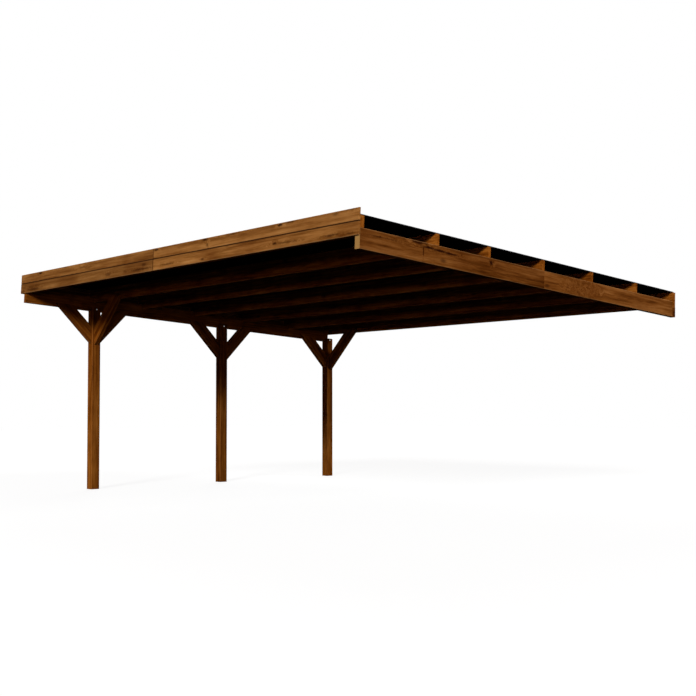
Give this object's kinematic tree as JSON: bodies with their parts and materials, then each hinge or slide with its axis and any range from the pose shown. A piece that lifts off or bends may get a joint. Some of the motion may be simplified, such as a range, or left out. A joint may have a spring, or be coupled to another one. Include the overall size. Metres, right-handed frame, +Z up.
{
  "type": "lean-to carport",
  "caption": "open timber carport on posts with knee braces, fixed to a wall on one side, with notched rafters, double fascia boards and a ribbed roof that falls to the back",
  "frame": {"origin": "the middle of the wall face of the front length of the wall plate", "axes": "+X points into the wall that carries the plate, +Y from the front of the carport to its lower back, +Z up"},
  "size_m": [6.028, 5.1457, 2.6889],
  "materials": {
    "post_timber": "dark brown stain on planed timber",
    "beam_timber": "dark brown stain on planed timber",
    "rafter_timber": "dark brown stain on planed timber",
    "brace_timber": "dark brown stain on planed timber",
    "fascia_board": "dark brown stain on planed boards",
    "roof_sheet": "opaque anthracite ribbed sheet"
  },
  "bodies": {
    "root": {"post_front": "post_timber", "post_middle": "post_timber", "post_rear": "post_timber", "purlin_front": "beam_timber", "purlin_rear": "beam_timber", "wall_plate_front": "beam_timber", "wall_plate_rear": "beam_timber", "rafter_1": "rafter_timber", "rafter_2": "rafter_timber", "rafter_3": "rafter_timber", "rafter_4": "rafter_timber", "rafter_5": "rafter_timber", "rafter_6": "rafter_timber", "rafter_7": "rafter_timber", "rear_rafter_cleat": "rafter_timber", "brace_front_post_forward": "brace_timber", "brace_front_post_backward": "brace_timber", "brace_middle_post_forward": "brace_timber", "brace_middle_post_backward": "brace_timber", "brace_rear_post_forward": "brace_timber", "brace_front_post_across": "brace_timber", "brace_rear_post_across": "brace_timber", "front_fascia_lower_left": "fascia_board", "front_fascia_lower_right": "fascia_board", "front_fascia_upper_left": "fascia_board", "front_fascia_upper_right": "fascia_board", "side_fascia_lower_front": "fascia_board", "side_fascia_lower_rear": "fascia_board", "side_fascia_upper_front": "fascia_board", "side_fascia_upper_rear": "fascia_board", "rear_fascia_left": "fascia_board", "rear_fascia_right": "fascia_board", "roof_sheet_1": "roof_sheet", "roof_sheet_2": "roof_sheet", "roof_sheet_3": "roof_sheet", "roof_sheet_4": "roof_sheet", "roof_sheet_5": "roof_sheet", "roof_sheet_6": "roof_sheet"}
  },
  "joints": []
}
